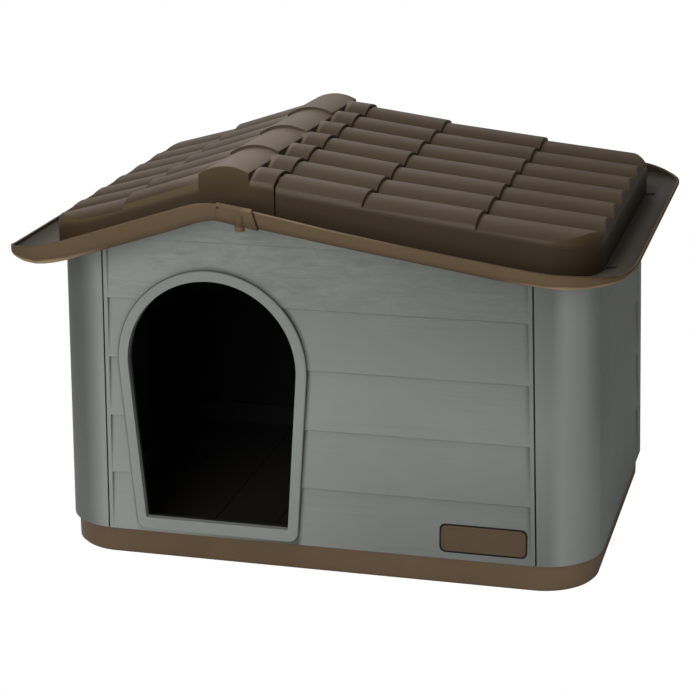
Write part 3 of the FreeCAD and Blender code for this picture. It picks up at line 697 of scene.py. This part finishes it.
def dressHouse():
    dress(["front_wall", "rear_wall", "left_wall", "right_wall"], wallFinish())
    dress(["roof_left", "roof_right"], roofFinish())
    dress(["base_tray"], trayFinish())
    dress(["name_plate"], plateFinish())
    dress(["hinge_pins"], pinFinish())
    print("house dressed")


studioLook = {
    "floorColour": (246, 246, 245),
    "floorReach": 30.0,
    "floorDrop": 0.0004,
    "skyStrength": 0.15,
    # place, target, size and power of each soft box
    "key": ((-0.30, -2.00, 0.95), (-0.1, 0.0, 0.2), (1.1, 1.0), 18.4),
    "top": ((-0.30, -0.35, 1.35), (-0.08, 0.0, 0.36), (0.7, 0.7), 9.0),
    "backSheen": ((-1.1, 2.7, 1.3), (0.0, 0.0, 0.35), (1.8, 1.2), 6.0),
    "rightStrip": ((1.70, -1.90, 0.45), (0.25, -0.2, 0.2), (0.3, 1.3), 5.0),
    "backFill": ((-0.9, 3.0, 0.45), (0.0, 0.2, 0.18), (2.0, 0.8), 15.0),
}

white = (1.0, 1.0, 1.0, 1.0)


def addLamp(name, place, target, size, power):
    lamp = bpy.data.lights.new(name, "AREA")
    lamp.shape = "RECTANGLE"
    lamp.size, lamp.size_y = size
    lamp.energy = power
    holder = bpy.data.objects.new(name, lamp)
    holder.location = place
    aim = Vector(target) - Vector(place)
    holder.rotation_euler = aim.to_track_quat("-Z", "Y").to_euler()
    bpy.context.scene.collection.objects.link(holder)
    return holder


def addFloor():
    look = studioLook
    mesh = bpy.data.meshes.new("studioFloor")
    reach, level = look["floorReach"], -look["floorDrop"]
    corners = [(-reach, -reach, level), (reach, -reach, level), (reach, reach, level), (-reach, reach, level)]
    mesh.from_pydata(corners, [], [(0, 1, 2, 3)])
    floor = bpy.data.objects.new("studioFloor", mesh)
    bpy.context.scene.collection.objects.link(floor)
    f = newFinish("studioPaper")
    seen = f.node("ShaderNodeLightPath", {}, {}, "Is Camera Ray")
    paper = f.node("ShaderNodeBsdfDiffuse", {}, {"Color": tint(*look["floorColour"])})
    plain = f.node("ShaderNodeEmission", {}, {"Color": white, "Strength": 1.0})
    blend = f.node("ShaderNodeMixShader", {}, {0: seen, 1: paper, 2: plain})
    f.node("ShaderNodeOutputMaterial", {}, {"Surface": blend})
    mesh.materials.append(f.owner)


def addSky():
    world = bpy.data.worlds.new("studioSky")
    bpy.context.scene.world = world
    f = Finish(world)
    seen = f.node("ShaderNodeLightPath", {}, {}, "Is Camera Ray")
    room = f.node("ShaderNodeBackground", {}, {"Color": white, "Strength": studioLook["skyStrength"]})
    plain = f.node("ShaderNodeBackground", {}, {"Color": white, "Strength": 1.0})
    blend = f.node("ShaderNodeMixShader", {}, {0: seen, 1: room, 2: plain})
    f.node("ShaderNodeOutputWorld", {}, {"Surface": blend})


cameraLook = {
    "place": (0.5279, -2.0063, 0.8339),
    "azimuth": 15.3314,
    "elevation": 17.5981,
    "roll": -0.8479,
    "lens": 107.05,
    "sensorWidth": 36.0,
    "nearest": 0.05,
    "farthest": 60.0,
}


def addCamera():
    look = cameraLook
    data = bpy.data.cameras.new("photoCamera")
    data.sensor_width = look["sensorWidth"]
    data.lens = look["lens"]
    data.clip_start, data.clip_end = look["nearest"], look["farthest"]
    camera = bpy.data.objects.new("photoCamera", data)
    azimuth = math.radians(look["azimuth"])
    elevation = math.radians(look["elevation"])
    roll = math.radians(look["roll"])
    away = math.cos(elevation)
    back = Vector((math.sin(azimuth) * away, -math.cos(azimuth) * away, math.sin(elevation)))
    right = Vector((math.cos(azimuth), math.sin(azimuth), 0.0))
    up = back.cross(right)
    turnedRight = right * math.cos(roll) + up * math.sin(roll)
    turnedUp = up * math.cos(roll) - right * math.sin(roll)
    turn = Matrix((turnedRight, turnedUp, back)).transposed().to_4x4()
    camera.matrix_world = Matrix.Translation(look["place"]) @ turn
    bpy.context.scene.collection.objects.link(camera)
    bpy.context.scene.camera = camera


def addStudio():
    look = studioLook
    bpy.context.scene.view_settings.view_transform = "Standard"
    addFloor()
    addSky()
    for name in ("key", "top", "backSheen", "rightStrip", "backFill"):
        lamp = addLamp(name + "Box", *look[name])
        lamp.visible_glossy = name != "backFill"  # it lights the sides without a glare on the tiles
    addCamera()
    print("studio ready")


dressHouse()
addStudio()
